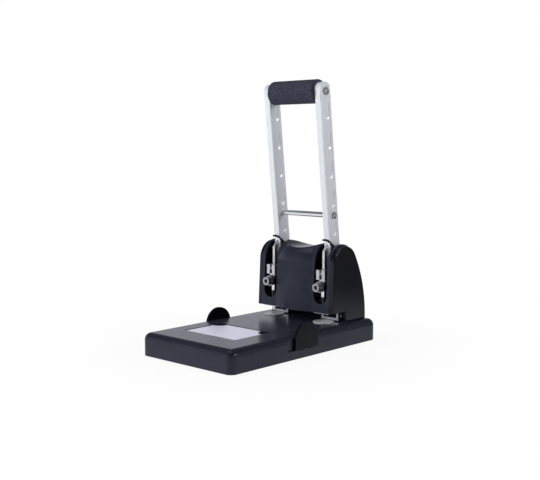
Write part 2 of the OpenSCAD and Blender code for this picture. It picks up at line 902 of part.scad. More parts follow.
module bush_right() {
    color([0.72, 0.55, 0.30]) bush();
}

// The grip between the arms: a steel rod in a foam sleeve
arm_in = hole_x - arm_t / 2;
grip_end_r = 3;

module grip_rod() {
    color([0.65, 0.66, 0.68]) on_lever() difference() {
        rod_x(grip_rod_d, -arm_in, arm_in, 0, arm_len);
        both_sides() rod_x(grip_screw_d, arm_in - 12, arm_in + over, 0, arm_len);
    }
}

module grip_foam() {
    half = arm_in - seat_fit;
    color([0.17, 0.18, 0.21]) on_lever() translate([0, 0, arm_len]) rotate([0, 90, 0]) rotate_extrude() {
        translate([grip_rod_d / 2, -half]) square([grip_d / 2 - grip_end_r - grip_rod_d / 2, 2 * half]);
        translate([grip_rod_d / 2, -half + grip_end_r])
            square([grip_d / 2 - grip_rod_d / 2, 2 * (half - grip_end_r)]);
        for (z = [-1, 1]) translate([grip_d / 2 - grip_end_r, z * (half - grip_end_r)]) circle(grip_end_r);
    }
}

// A button head screw along X with a hexagon socket, its seat at x
module side_screw(x, w, head_d, head_h, length) {
    socket_d = 3.6;
    socket_t = 1.2;
    difference() {
        union() {
            rod_x(head_d, x, x + head_h, 0, w);
            rod_x(grip_screw_d, x - length, x + head_h / 2, 0, w);
        }
        translate([x + head_h - socket_t, 0, w]) rotate([0, 90, 0])
            cylinder(d = socket_d, h = socket_t + over, $fn = 6);
    }
}

module grip_screws() {
    seat = hole_x + arm_t / 2 - screw_seat_t;
    color([0.70, 0.70, 0.70]) both_sides() on_lever() side_screw(seat, arm_len, 9, 1.8, arm_t + 10);
}

module cross_bar() {
    half = arm_in - bar_boss_t;
    color([0.80, 0.81, 0.82]) on_lever() difference() {
        rod_x(bar_d, -half, half, 0, bar_at);
        both_sides() rod_x(grip_screw_d - 1, half - 8, half + over, 0, bar_at);
    }
}

module cross_bar_screws() {
    seat = hole_x + arm_t / 2 + bar_boss_t;
    reach = arm_t + 2 * bar_boss_t;
    color([0.70, 0.70, 0.70]) both_sides() on_lever() {
        side_screw(seat, bar_at, 8, 1.6, reach);
        rod_x(grip_screw_d - 1, seat - reach - 7, seat - reach + over, 0, bar_at);
    }
}

// A return spring: a wire that hooks over the front of an arm and winds round the axle
wire_side = arm_t / 2 + swing_fit + wire_d / 2;
coil_r = axle_d / 2 + 1 + wire_d / 2;
coil_pitch = wire_d + 0.65;
coil_turns = 2.25;
curl_rings = 8;
tube_sides = 6;
hook_w = 47.5;
tail_l = 12;

// Places of the wire, as (X from the middle of the arm, Y, Z)
function wire_at(x, u, w) = let (p = on_arm(u, w)) [x, p[0], p[1]];
hook_u = -arm_d / 2 - slide_fit - wire_d / 2;
wire_hook = [
    wire_at(-wire_side - 2, hook_u + 0.6, hook_w - 0.6),
    wire_at(-wire_side, hook_u + 0.1, hook_w - 0.1),
    wire_at(0, hook_u, hook_w),
    wire_at(wire_side - 1.2, hook_u, hook_w),
    wire_at(wire_side, hook_u + 1.4, hook_w - 1.2),
    wire_at(wire_side, hook_u + 9, hook_w - 8),
    wire_at(wire_side, coil_r - 3, 20),
    wire_at(wire_side, coil_r, wire_d * 2),
];
wire_coil = [for (i = [0:coil_turns * curl_rings]) let (a = 360 * i / curl_rings)
    [wire_side + coil_pitch * i / curl_rings, pivot_y + coil_r * cos(a), pivot_z - coil_r * sin(a)]];
wire_tail = [[wire_side + coil_pitch * coil_turns, pivot_y - tail_l, pivot_z - coil_r]];
wire_path = concat(wire_hook, wire_coil, wire_tail);

// Least gap between stretches of the wire that lie a turn apart
wire_gap = min([for (i = [0:len(wire_path) - 6], j = [i + 5:len(wire_path) - 1])
    norm(wire_path[i] - wire_path[j])]) - wire_d;
echo(least_gap_of_spring_wire = wire_gap);

function unit(v) = v / norm(v);
function ways(path) = [for (i = [0:len(path) - 1])
    unit(path[min(i + 1, len(path) - 1)] - path[max(i - 1, 0)])];
function across(n, way) = unit(n - (n * way) * way);

// A normal for each point of a path, carried along without twist
function carried(way, i, n) = let (here = across(n, way[i]))
    i + 1 < len(way) ? concat([here], carried(way, i + 1, here)) : [here];

// A round tube along a path, closed at both ends
module tube(path, d) {
    way = ways(path);
    normal = carried(way, 0, [0, 0.3, 1]);
    points = [for (i = [0:len(path) - 1], k = [0:tube_sides - 1]) let (a = 360 * k / tube_sides)
        path[i] + d / 2 * (cos(a) * normal[i] + sin(a) * cross(way[i], normal[i]))];
    last = (len(path) - 1) * tube_sides;
    sides = [for (i = [0:len(path) - 2], k = [0:tube_sides - 1])
        let (a = i * tube_sides + k, b = i * tube_sides + (k + 1) % tube_sides)
        each [[a, a + tube_sides, b], [b, a + tube_sides, b + tube_sides]]];
    caps = [for (k = [1:tube_sides - 2]) each [[0, k, k + 1], [last, last + k + 1, last + k]]];
    polyhedron(points, concat(sides, caps));
}

module return_spring_left() {
    color([0.06, 0.06, 0.07]) translate([-hole_x, 0, 0]) tube(wire_path, wire_d);
}

module return_spring_right() {
    color([0.06, 0.06, 0.07]) translate([hole_x, 0, 0]) tube(wire_path, wire_d);
}

// A fork over each punch that the drive plate moves by a pin
fork_half = 6.5;
fork_front = 6;
fork_back = 4;
fork_gap = drive_t + 2 * slide_fit;
stud_d = 5;
neck_d = 8;
stud_l = 3;

module fork() {
    floor_z = holder_top + fork_neck + fork_disc;
    difference() {
        union() {
            box([hole_x - fork_half, hole_y - fork_front, floor_z - over / 2],
                [hole_x + fork_half, hole_y + fork_back, fork_top]);
            translate([hole_x, hole_y, holder_top + fork_neck]) cylinder(r = fork_disc_r, h = fork_disc);
            translate([hole_x, hole_y, holder_top - stud_l])
                cylinder(d = stud_d, h = stud_l + fork_neck + over / 2);
            translate([hole_x, hole_y, holder_top]) cylinder(d = neck_d, h = fork_neck + over / 2);
        }
        box([hole_x - fork_gap / 2, hole_y - fork_disc_r - over, floor_z],
            [hole_x + fork_gap / 2, hole_y + fork_disc_r + over, fork_top + over]);
        rod_x(pin_d, hole_x - fork_half - over, hole_x + fork_half + over, hole_y, pin_z);
    }
}

module fork_left() {
    color([0.72, 0.73, 0.75]) mirror([1, 0, 0]) fork();
}

module fork_right() {
    color([0.72, 0.73, 0.75]) fork();
}

module drive_pin_left() {
    color([0.75, 0.76, 0.78]) rod_x(pin_d, -hole_x - fork_half, -hole_x + fork_half, hole_y, pin_z);
}

module drive_pin_right() {
    color([0.75, 0.76, 0.78]) rod_x(pin_d, hole_x - fork_half, hole_x + fork_half, hole_y, pin_z);
}

// The block that clamps a punch, with the bolt's boss on its front
punch_grip = 6;
holder_half = 6.3;
holder_back = 6;

module holder() {
    difference() {
        union() {
            box([hole_x - holder_half, hole_y - holder_half, holder_z],
                [hole_x + holder_half, hole_y + holder_back, holder_top]);
            rod_y(boss_d, boss_y, hole_y - holder_half + over / 2, hole_x, bolt_z);
        }
        translate([hole_x, hole_y, holder_z - over]) cylinder(d = hole_d, h = punch_grip + over);
        translate([hole_x, hole_y, holder_top - stud_l]) cylinder(d = stud_d, h = stud_l + over);
        rod_y(bolt_d, boss_y - over, hole_y, hole_x, bolt_z);
    }
}

module holder_left() {
    color([0.50, 0.51, 0.54]) mirror([1, 0, 0]) holder();
}

module holder_right() {
    color([0.50, 0.51, 0.54]) holder();
}

// A socket head bolt that clamps the punch in its holder
module clamp_bolt() {
    socket_d = 5.8;
    socket_t = 3.2;
    head_y = boss_y - bolt_head_l;
    difference() {
        union() {
            rod_y(bolt_head_d, head_y, boss_y, hole_x, bolt_z);
            rod_y(bolt_d, boss_y - over / 2, hole_y - hole_d / 2 - seat_fit, hole_x, bolt_z);
        }
        translate([hole_x, head_y + socket_t, bolt_z]) rotate([90, 0, 0])
            cylinder(d = socket_d, h = socket_t + over, $fn = 6);
    }
}

module clamp_bolt_left() {
    color([0.58, 0.58, 0.60]) mirror([1, 0, 0]) clamp_bolt();
}

module clamp_bolt_right() {
    color([0.58, 0.58, 0.60]) clamp_bolt();
}

// A punch with a hollow cutting end
module punch() {
    tip_z = bridge_z - stripper_t + 0.5;
    hollow = 3;
    difference() {
        translate([hole_x, hole_y, tip_z]) cylinder(d = hole_d, h = holder_z + punch_grip - tip_z);
        translate([hole_x, hole_y, tip_z - over]) cylinder(d = hole_d - 1.6, h = hollow + over);
    }
}

module punch_left() {
    color([0.85, 0.86, 0.88]) mirror([1, 0, 0]) punch();
}

module punch_right() {
    color([0.85, 0.86, 0.88]) punch();
}

// A paper guide: an upright plate with a round top and a raised rim
module guide() {
    r = guide_w / 2;
    rim = 2;
    rim_t = 0.6;
    difference() {
        along_x(guide_in, guide_in + guide_t) guide_outline(r);
        along_x(guide_in - over, guide_in + rim_t) intersection() {
            guide_outline(r - rim);
            translate([guide_y - r, deck_z]) square([guide_w, guide_rise]);
        }
    }
}

// The guide plate seen from the side
module guide_outline(r) {
    top = deck_z + guide_rise - guide_w / 2;
    intersection() {
        translate([guide_y, top]) circle(r);
        translate([guide_y - r, guide_z]) square([2 * r, 2 * guide_w]);
    }
    translate([guide_y - r, guide_z]) square([2 * r, top - guide_z]);
}

module guide_left() {
    color([0.07, 0.07, 0.08]) mirror([1, 0, 0]) guide();
}

module guide_right() {
    color([0.07, 0.07, 0.08]) guide();
}

// A flat bar that carries a guide plate and slides in the guide rail
module slide_bar(side) {
    translate([0, guide_y - side * slide_y, slide_z])
        box([guide_in - slide_l, -slide_w / 2, -slide_h / 2], [guide_in, slide_w / 2, slide_h / 2]);
}

module slide_bar_left() {
    color([0.60, 0.61, 0.63]) mirror([1, 0, 0]) slide_bar(-1);
}

module slide_bar_right() {
    color([0.60, 0.61, 0.63]) slide_bar(1);
}

// A tray for the paper chips that pulls out at the back, with a finger scoop
module chip_drawer() {
    wall = 2;
    face_t = 8;
    back_y = base_l / 2;
    scoop_r = 20;
    scoop_d = 5;
    color([0.12, 0.12, 0.14]) difference() {
        box([-drawer_w / 2, back_y - drawer_l, drawer_z], [drawer_w / 2, back_y, drawer_z + drawer_h]);
        box([-drawer_w / 2 + wall, back_y - drawer_l + wall, drawer_z + wall],
            [drawer_w / 2 - wall, back_y - face_t, drawer_z + drawer_h + over]);
        translate([0, back_y + scoop_r - scoop_d, drawer_z - over])
            cylinder(r = scoop_r, h = drawer_h - wall + over);
    }
}

// Draws the pieces
base_shell();
bottom_plate();
rubber_feet();
base_screws();
label_plate();
guide_rail();
die_left();
die_right();
frame_left();
frame_right();
frame_bolts();
guide_bridge();
bridge_screws();
stripper_left();
stripper_right();
paper_stop_left();
paper_stop_right();
axle();
axle_rings();
stop_rod();
tie_rod();
front_cover();
rear_cover();
cheek_left();
cheek_right();
cover_screws();
arm_left();
arm_right();
drive_plate_left();
drive_plate_right();
drive_rivets();
bush_left();
bush_right();
grip_rod();
grip_foam();
grip_screws();
cross_bar();
cross_bar_screws();
return_spring_left();
return_spring_right();
fork_left();
fork_right();
drive_pin_left();
drive_pin_right();
holder_left();
holder_right();
clamp_bolt_left();
clamp_bolt_right();
punch_left();
punch_right();
guide_left();
guide_right();
slide_bar_left();
slide_bar_right();
chip_drawer();
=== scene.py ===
"""Looks of a heavy duty two-hole punch: rounded mouldings, foam, wire, finishes and a plain stage."""

import json
import math

import bmesh
import bpy
from bpy.props import FloatProperty, FloatVectorProperty, IntProperty, PointerProperty
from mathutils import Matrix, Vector


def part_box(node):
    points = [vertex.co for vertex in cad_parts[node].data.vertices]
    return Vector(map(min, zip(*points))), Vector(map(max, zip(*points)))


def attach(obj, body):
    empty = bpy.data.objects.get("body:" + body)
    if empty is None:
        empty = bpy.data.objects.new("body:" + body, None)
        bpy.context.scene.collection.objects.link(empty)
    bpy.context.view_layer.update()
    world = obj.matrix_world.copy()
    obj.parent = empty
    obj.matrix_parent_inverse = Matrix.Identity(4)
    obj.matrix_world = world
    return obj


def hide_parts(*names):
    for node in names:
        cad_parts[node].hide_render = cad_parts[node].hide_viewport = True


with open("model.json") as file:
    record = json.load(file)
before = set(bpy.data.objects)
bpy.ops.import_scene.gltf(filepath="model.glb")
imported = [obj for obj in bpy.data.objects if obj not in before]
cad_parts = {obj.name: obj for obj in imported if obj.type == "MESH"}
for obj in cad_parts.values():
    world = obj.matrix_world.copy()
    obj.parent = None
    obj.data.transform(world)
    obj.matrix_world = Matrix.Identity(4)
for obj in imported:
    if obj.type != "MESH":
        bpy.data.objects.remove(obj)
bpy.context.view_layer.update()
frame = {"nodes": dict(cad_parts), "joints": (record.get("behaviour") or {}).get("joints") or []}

bl_info = {
    "name": "Hole punch looks",
    "version": (1, 0, 0),
    "blender": (4, 5, 0),
    "location": "3D View > Sidebar > Hole punch",
    "description": "Rounds, finishes and lights a long-lever desk hole punch",
    "category": "Object",
}

MM = 0.001
SIDES = {"left": -1, "right": 1}

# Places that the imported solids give
JOINTS = {joint["name"]: joint for joint in frame["joints"]}
PIVOT = Vector(JOINTS["lever_hinge"]["pos_m"])
ARM_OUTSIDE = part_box("arm_right")[1].x
FOAM_LOW, FOAM_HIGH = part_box("grip_foam")
GRIP_CENTRE = (FOAM_LOW + FOAM_HIGH) / 2
ARM_LEAN = math.atan2(PIVOT.y - GRIP_CENTRE.y, GRIP_CENTRE.z - PIVOT.z)
CHEEK_LOW, CHEEK_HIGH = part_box("cheek_right")
HOLDER_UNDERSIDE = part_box("holder_right")[0].z

# Sizes inside the solids: top of the arms' slit over the axle, depth of the
# grip screws' seats and radius of the screws' sockets
SLIT_TOP = 45 * MM
SCREW_SEAT = 1.1 * MM
SCREW_SOCKET = 1.8 * MM

# Points closer than WELD are one, and faces within TOUCH of a plane lie in it
WELD = 0.002 * MM
TOUCH = 0.01 * MM

# Lamps: place, width and height in metres, and whether reflections show them
LAMPS = {
    "key": ((-1.15, -1.40, 0.55), (1.2, 1.2), False),
    "top": ((-0.3, -0.5, 1.9), (1.4, 1.4), True),
    "back": ((1.45, 0.5, 0.65), (1.0, 0.3), True),
}
LAMP_AIM = Vector((0, 0.04, 0.12))

# Falls of the light: the value at the near end and at the far end, then where
# each end is, as a direction for the sky and in metres for the floor
SKY_UP = (1.0, 0.12, 0.1, 0.6)
SKY_RIGHT = (1.0, 0.15, 0.0, 0.7)
SKY_TINT = (0.90, 0.93, 1.0, 1.0)
FLOOR_BEHIND = (1.0, 0.2, 0.25, 0.75)
FLOOR_SHADOW = (0.93, 1.0, 0.15, 0.35)
WHITE = (1.0, 1.0, 1.0, 1.0)


# Sizes and colours that a user would change


def colour(name, description, default):
    """A setting for a colour."""
    return FloatVectorProperty(name=name, description=description, subtype="COLOR", size=3,
                               min=0.0, max=1.0, default=default)


def length(name, description, millimetres):
    """A setting for a length, with its default in millimetres."""
    return FloatProperty(name=name, description=description, subtype="DISTANCE", unit="LENGTH",
                         min=0.0, default=millimetres * MM)


class PunchColours(bpy.types.PropertyGroup):
    """Colours of the finishes"""

    base: colour("Base", "Moulded base shell", (0.017, 0.0178, 0.0285))
    covers: colour("Covers", "Front and rear cover", (0.0195, 0.0207, 0.034))
    cheeks: colour("Side covers", "Side covers of the housing", (0.004, 0.004, 0.0055))
    guides: colour("Guides", "Paper guides and drawer", (0.004, 0.004, 0.0055))
    label: colour("Label", "Bare label plate", (0.74, 0.755, 0.89))
    arms: colour("Arms", "Cast lever arms", (0.69, 0.70, 0.745))
    foam: colour("Foam", "Sleeve on the grip", (0.033, 0.035, 0.055))
    steel: colour("Steel", "Ground steel", (0.40, 0.40, 0.42))
    plated: colour("Plated steel", "Forks", (0.68, 0.68, 0.72))
    dies: colour("Dies", "Smooth die discs", (0.62, 0.62, 0.66))
    screws: colour("Screws", "Screws on the lever", (0.42, 0.42, 0.44))
    bright: colour("Bright steel", "Polished steel", (0.72, 0.73, 0.75))
    holders: colour("Holders", "Punch holders", (0.30, 0.30, 0.34))
    # Dark steel also serves as painted shade on the lower shanks of the punches
    dark: colour("Dark steel", "Frames and oiled punch shanks", (0.060, 0.062, 0.072))
    wire: colour("Wire", "Blackened spring wire", (0.010, 0.010, 0.013))
    bronze: colour("Bronze", "Bushes on the axle", (0.50, 0.31, 0.11))
    rubber: colour("Rubber", "Feet", (0.014, 0.014, 0.014))
    floor: colour("Floor", "Pale floor", (0.90, 0.90, 0.90))


class PunchEdges(bpy.types.PropertyGroup):
    """Rounding of the moulded and machined edges"""

    corner: length("Front corner", "Radius of the front corner of each side cover", 5.6)
    cheek: length("Side cover", "Radius round the back of each side cover's outer face", 2.0)
    cover: length("Cover", "Radius along the cover's slots and ends", 1.0)
    guide: length("Guide", "Radius round the paper guides", 0.5)
    arm: length("Arm", "Radius of the pockets in the arms", 0.58)
    segments: IntProperty(name="Segments", description="Steps round the rim of each side cover",
                          default=6, min=1, max=8)


class PunchForms(bpy.types.PropertyGroup):
    """Sizes of the side covers, the wire and the foam"""

    arch: length("Arch", "Radius of the side covers over the axle", 21.5)
    arch_end: FloatProperty(name="Arch end", description="Slope at which the arch runs into the back",
                            subtype="ANGLE", default=math.radians(35))
    lean: FloatProperty(name="Front lean", description="Lean of the side covers' front towards the back",
                        subtype="ANGLE", default=math.radians(3))
    back_bow: length("Back bow", "How far the back of the side covers bows out", 6.0)
    throat: length("Throat", "Depth of the throat from the front of the side covers", 26.0)
    throat_rise: length("Throat rise", "Height of the throat over the deck", 12.0)
    wall: length("Wall", "Wall of the side covers", 2.5)
    wire: length("Wire", "Diameter of the spring wire", 2.3)
    wire_side: length("Wire beside", "Distance from the middle of an arm to the wire beside it", 5.8)
    wire_front: length("Wire in front", "Distance from the middle of an arm to the wire in front of it", 10.7)
    hook: length("Hook", "Height of the spring's hook over the axle, along the arm", 47.5)
    coil: length("Coil", "Radius of the spring's coil about the axle", 6.9)
    pitch: length("Pitch", "Step of the coil along the axle", 2.45)
    turns: FloatProperty(name="Turns", description="Turns of each coil", default=2.25, min=1.0, max=4.0)
    foam_end: length("Foam end", "Radius of the foam's ends", 2.2)
    foam_skin: length("Foam skin", "Height of the unevenness of the foam", 0.35)


class PunchStage(bpy.types.PropertyGroup):
    """Camera and light"""

    camera: FloatVectorProperty(name="Camera", description="Place of the camera", subtype="XYZ",
                                unit="LENGTH", size=3, default=(0.7346, -0.7840, 0.2378))
    azimuth: FloatProperty(name="Azimuth", description="Turn of the camera about the upright axis",
                           subtype="ANGLE", default=math.radians(42.73))
    pitch: FloatProperty(name="Pitch", description="How far the camera looks down", subtype="ANGLE",
                         default=math.radians(5.84))
    lens: FloatProperty(name="Lens", description="Focal length in millimetres", default=61.78, min=10.0)
    floor: FloatProperty(name="Floor", description="Side of the floor", subtype="DISTANCE", unit="LENGTH",
                         default=14.0, min=1.0)
    key: FloatProperty(name="Key light", description="Power of the low light at the left", subtype="POWER",
                       default=30.0)
    top: FloatProperty(name="Top light", description="Power of the light overhead", subtype="POWER",
                       default=10.0)
    back: FloatProperty(name="Back light", description="Power of the light behind at the right",
                        subtype="POWER", default=13.0)


class PunchSettings(bpy.types.PropertyGroup):
    """Everything that can be set"""

    colours: PointerProperty(type=PunchColours)
    edges: PointerProperty(type=PunchEdges)
    forms: PointerProperty(type=PunchForms)
    stage: PointerProperty(type=PunchStage)


# Modelling


def activate(piece):
    """Selects one piece alone."""
    bpy.ops.object.select_all(action="DESELECT")
    piece.select_set(True)
    bpy.context.view_layer.objects.active = piece


def edit(piece):
    """Opens a piece in edit mode with nothing selected."""
    activate(piece)
    bpy.ops.object.mode_set(mode="EDIT")
    bpy.ops.mesh.select_mode(type="EDGE")
    bpy.ops.mesh.select_all(action="DESELECT")


def close_edit():
    """Leaves edit mode."""
    bpy.ops.object.mode_set(mode="OBJECT")


def turn_outwards():
    """Points all faces of the piece in edit mode outwards."""
    bpy.ops.mesh.select_all(action="SELECT")
    bpy.ops.mesh.normals_make_consistent(inside=False)


def extrude_across(distance):
    """Draws what is selected out along X."""
    bpy.ops.mesh.extrude_region_move(TRANSFORM_OT_translate={"value": (distance, 0, 0)})


def start_piece(name, add, **values):
    """A primitive to shape, with its place and turn put into its mesh."""
    bpy.ops.object.select_all(action="DESELECT")
    add(**values)
    piece = bpy.context.active_object
    piece.name = piece.data.name = name
    bpy.ops.object.transform_apply(location=True, rotation=True, scale=True)
    return piece


def merged_copy(node, name):
    """A copy of a solid's mesh with its loose triangles joined into whole faces."""
    mesh = frame["nodes"][node].data.copy()
    mesh.name = name
    mesh.materials.clear()
    piece = bpy.data.objects.new(name, mesh)
    bpy.context.scene.collection.objects.link(piece)
    activate(piece)
    bpy.ops.mesh.customdata_custom_splitnormals_clear()
    edit(piece)
    bpy.ops.mesh.select_all(action="SELECT")
    bpy.ops.mesh.remove_doubles(threshold=WELD)
    bpy.ops.mesh.dissolve_limited(angle_limit=math.radians(0.5))
    close_edit()
    return piece


def round_off(piece, width, segments, wanted, sharp=30):
    """Bevels the sharp outer edges of a piece whose middles are wanted."""
    edit(piece)
    shape = bmesh.from_edit_mesh(piece.data)
    for edge in shape.edges:
        if len(edge.link_faces) != 2 or edge.calc_face_angle() < math.radians(sharp):
            continue
        middle = (edge.verts[0].co + edge.verts[1].co) / 2
        edge.select_set(wanted(middle, edge))
    bmesh.update_edit_mesh(piece.data)
    bpy.ops.mesh.bevel(offset=width, segments=segments, profile=0.5, affect="EDGES", clamp_overlap=True)
    close_edit()


def select_faces(piece, wanted):
    """Selects the wanted faces of a piece in edit mode."""
    bpy.ops.mesh.select_mode(type="FACE")
    shape = bmesh.from_edit_mesh(piece.data)
    for face in shape.faces:
        face.select_set(wanted(face))
    bmesh.update_edit_mesh(piece.data)


def outline_piece(name, points):
    """A flat face with the given corners, made from a circle with as many points."""
    piece = start_piece(name, bpy.ops.mesh.primitive_circle_add, vertices=len(points), fill_type="NGON")
    for vertex, point in zip(piece.data.vertices, points):
        vertex.co = point
    return piece


def apply(piece, kind, **values):
    """Adds a modifier to a piece and applies it."""
    activate(piece)
    modifier = piece.modifiers.new(kind.title(), kind)
    for key, value in values.items():
        setattr(modifier, key, value)
    bpy.ops.object.modifier_apply(modifier=modifier.name)


def smooth(piece, angle=32):
    """Smooth shading that keeps the flat faces flat."""
    activate(piece)
    bpy.ops.object.shade_smooth_by_angle(angle=math.radians(angle))
    apply(piece, "WEIGHTED_NORMAL", keep_sharp=True, weight=80)


def dress(piece, body, slot, material, *nodes):
    """Gives a finished piece its material and body, and hides the solids that it stands for; the slot is not
    used.
    """
    piece.data.materials.clear()
    piece.data.materials.append(material)
    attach(piece, body)
    if nodes:
        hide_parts(*nodes)


def paint(material, *nodes):
    """Gives solids that keep their shape a finish."""
    for node in nodes:
        slots = frame["nodes"][node].data.materials
        slots.clear()
        slots.append(material)


def pair(name):
    """The names of a left and a right solid."""
    return [f"{name}_{side}" for side in SIDES]


# Finishes


class Nodes:
    """The nodes of a material or the world, with a short way to add to them."""

    def __init__(self, owner):
        owner.use_nodes = True
        self.tree = owner.node_tree

    def add(self, kind, **inputs):
        """A node with values or links in its inputs; an underscore stands for a space."""
        node = self.tree.nodes.new(kind)
        for key, value in inputs.items():
            self.set(node.inputs[key.replace("_", " ")], value)
        return node

    def set(self, socket, value):
        """Links a socket to another or gives it a value."""
        if isinstance(value, bpy.types.NodeSocket):
            self.tree.links.new(value, socket)
        else:
            socket.default_value = value

    def math(self, operation, *values):
        """The result of one operation on numbers."""
        node = self.add("ShaderNodeMath")
        node.operation = operation
        for socket, value in zip(node.inputs, values):
            self.set(socket, value)
        return node.outputs["Value"]

    def away(self, place):
        """The distance of a place from the origin."""
        node = self.add("ShaderNodeVectorMath", Vector=place)
        node.operation = "LENGTH"
        return node.outputs["Value"]

    def spread(self, source, low, high, start=0.3, end=0.7, run="LINEAR"):
        """A number that goes from low to high as the source goes from start to end."""
        node = self.add("ShaderNodeMapRange", Value=source, From_Min=start, From_Max=end,
                        To_Min=low, To_Max=high)
        node.interpolation_type = run
        return node.outputs["Result"]

    def blend(self, share, first, second):
        """A mix of two shaders, which goes to the output."""
        node = self.add("ShaderNodeMixShader", Fac=share)
        for socket, shader in zip(node.inputs[1:], (first, second)):
            self.set(socket, shader.outputs[0])
        output = next(end for end in self.tree.nodes if end.bl_idname.startswith("ShaderNodeOutput"))
        self.set(output.inputs["Surface"], node.outputs["Shader"])


class Finish(Nodes):
    """A material on Object coordinates."""

    def __init__(self, name):
        self.material = bpy.data.materials.new(name)
        super().__init__(self.material)
        self.shader = self.tree.nodes["Principled BSDF"]
        self.place = self.add("ShaderNodeTexCoord").outputs["Object"]

    def shade(self, **inputs):
        """Sets or links inputs of the surface."""
        for key, value in inputs.items():
            self.set(self.shader.inputs[key.replace("_", " ")], value)

    def stretched(self, scale):
        """Coordinates with a scale of their own along each axis."""
        return self.add("ShaderNodeMapping", Vector=self.place, Scale=scale).outputs["Vector"]

    def noise(self, scale, detail=3.0, place=None):
        """Soft spots, smaller with a larger scale."""
        return self.add("ShaderNodeTexNoise", Vector=place or self.place, Scale=scale,
                        Detail=detail).outputs["Fac"]

    def cells(self, scale):
        """Round cells, as in foam."""
        return self.add("ShaderNodeTexVoronoi", Vector=self.place, Scale=scale).outputs["Distance"]

    def tint(self, amount, low, high):
        """A colour between two others."""
        node = self.add("ShaderNodeMix")
        node.data_type = "RGBA"
        factor, first, second = (socket for socket in node.inputs if socket.enabled)
        for socket, value in ((factor, amount), (first, low), (second, high)):
            self.set(socket, value)
        return next(socket for socket in node.outputs if socket.enabled)

    def worn(self, low, high):
        """A mask of the convex edges."""
        point = self.add("ShaderNodeNewGeometry").outputs["Pointiness"]
        return self.spread(point, 0.0, 1.0, low, high)

    def bump(self, height, strength, distance):
        """A fine relief."""
        node = self.add("ShaderNodeBump", Height=height, Strength=strength, Distance=distance)
        self.set(self.shader.inputs["Normal"], node.outputs["Normal"])


def shades(value, darker, lighter):
    """A darker and a lighter tone of a colour, with alpha."""
    return [(*[min(1.0, channel * share) for channel in value], 1.0) for share in (darker, lighter)]


def opaque(value):
    """A colour with alpha."""
    return (*value, 1.0)


def moulded_plastic(name, value, roughness, grain=2200.0, specular=0.2):
    """Black moulded plastic: fine spark grain, faint flow marks and rubbed edges."""
    finish = Finish(name)
    low, high = shades(value, 0.86, 1.16)
    pale = opaque(channel * 2.2 for channel in value)
    toned = finish.tint(finish.spread(finish.noise(38.0, 5.0), 0.0, 1.0), low, high)
    rubbed = finish.spread(finish.worn(0.53, 0.62), 0.0, 0.35, 0.0, 1.0)
    finish.shade(Base_Color=finish.tint(rubbed, toned, pale),
                 Roughness=finish.spread(finish.noise(140.0, 6.0), roughness - 0.02, roughness + 0.02),
                 Specular_IOR_Level=specular, Specular_Tint=(0.78, 0.82, 1.0, 1.0))
    finish.bump(finish.noise(grain, 2.0), 0.02, 0.012 * MM)
    return finish.material


def cast_metal(name, value, roughness=0.34):
    """Satin cast aluminium: fine blast texture with a few soft marks."""
    finish = Finish(name)
    low, high = shades(value, 0.97, 1.03)
    finish.shade(Base_Color=finish.tint(finish.spread(finish.noise(240.0, 6.0), 0.0, 1.0), low, high),
                 Metallic=0.25,
                 Roughness=finish.spread(finish.noise(620.0, 4.0), roughness - 0.03, roughness + 0.04))
    finish.bump(finish.noise(2600.0, 2.0), 0.06, 0.04 * MM)
    return finish.material


def brushed_metal(name, value, roughness, scale, depth=0.16):
    """Ground or plated steel with fine lines across the given directions."""
    finish = Finish(name)
    low, high = shades(value, 0.85, 1.12)
    lines = finish.noise(1.0, 4.0, finish.stretched(scale))
    finish.shade(Base_Color=finish.tint(finish.spread(lines, 0.0, 1.0), low, high),
                 Metallic=1.0,
                 Roughness=finish.spread(finish.noise(160.0, 5.0), roughness - 0.07, roughness + 0.09))
    finish.bump(lines, depth, 0.03 * MM)
    return finish.material


def polished_metal(name, value, roughness=0.12, metallic=1.0):
    """Polished steel with faint smears."""
    finish = Finish(name)
    low, high = shades(value, 0.95, 1.04)
    finish.shade(Base_Color=finish.tint(finish.spread(finish.noise(90.0, 4.0), 0.0, 1.0), low, high),
                 Metallic=metallic,
                 Roughness=finish.spread(finish.noise(210.0, 5.0), roughness - 0.05, roughness + 0.06))
    finish.bump(finish.noise(500.0, 3.0), 0.03, 0.02 * MM)
    return finish.material


def screw_painted_highlight(name, value, bright, middle):
    """Plated screws along X, on one line through a point, with a painted highlight in their sockets: bright,
    less metallic colour inside the socket's radius.
    """
    finish = Finish(name)
    across = finish.add("ShaderNodeMapping", Vector=finish.place, Scale=(0.0, 1.0, 1.0),
                        Location=(0.0, -middle.y, -middle.z))
    head_beyond_highlight = finish.spread(finish.away(across.outputs["Vector"]), 0.0, 1.0,
                         SCREW_SOCKET - 0.3 * MM, SCREW_SOCKET + 0.2 * MM)
    low, high = shades(value, 0.85, 1.12)
    plated = finish.tint(finish.spread(finish.noise(700.0, 4.0), 0.0, 1.0), low, high)
    # Inside the socket radius the colour is the bright steel and less metallic: a painted highlight
    finish.shade(Base_Color=finish.tint(head_beyond_highlight, opaque(bright), plated),
                 Metallic=finish.spread(head_beyond_highlight, 0.2, 1.0, 0.0, 1.0),
                 Roughness=finish.spread(finish.noise(160.0, 5.0), 0.21, 0.37))
    finish.bump(finish.noise(900.0, 3.0), 0.08, 0.03 * MM)
    return finish.material


def shank_painted_shade(name, bright, dark, height, fade):
    """A punch that is bright where it leaves its holder and darker below a height: painted shade on the lower
    shank.
    """
    finish = Finish(name)
    up = finish.add("ShaderNodeSeparateXYZ", Vector=finish.place).outputs["Z"]
    uneven = finish.math("MULTIPLY_ADD", finish.noise(300.0, 3.0), fade, up)
    unshaded = finish.spread(uneven, 0.0, 1.0, height, height + fade)
    # Below the height the colour goes to the dark steel: painted shade
    finish.shade(Base_Color=finish.tint(unshaded, opaque(dark), opaque(bright)),
                 Metallic=1.0,
                 Roughness=finish.spread(unshaded, 0.42, 0.12, 0.0, 1.0))
    finish.bump(finish.noise(700.0, 3.0), 0.05, 0.02 * MM)
    return finish.material


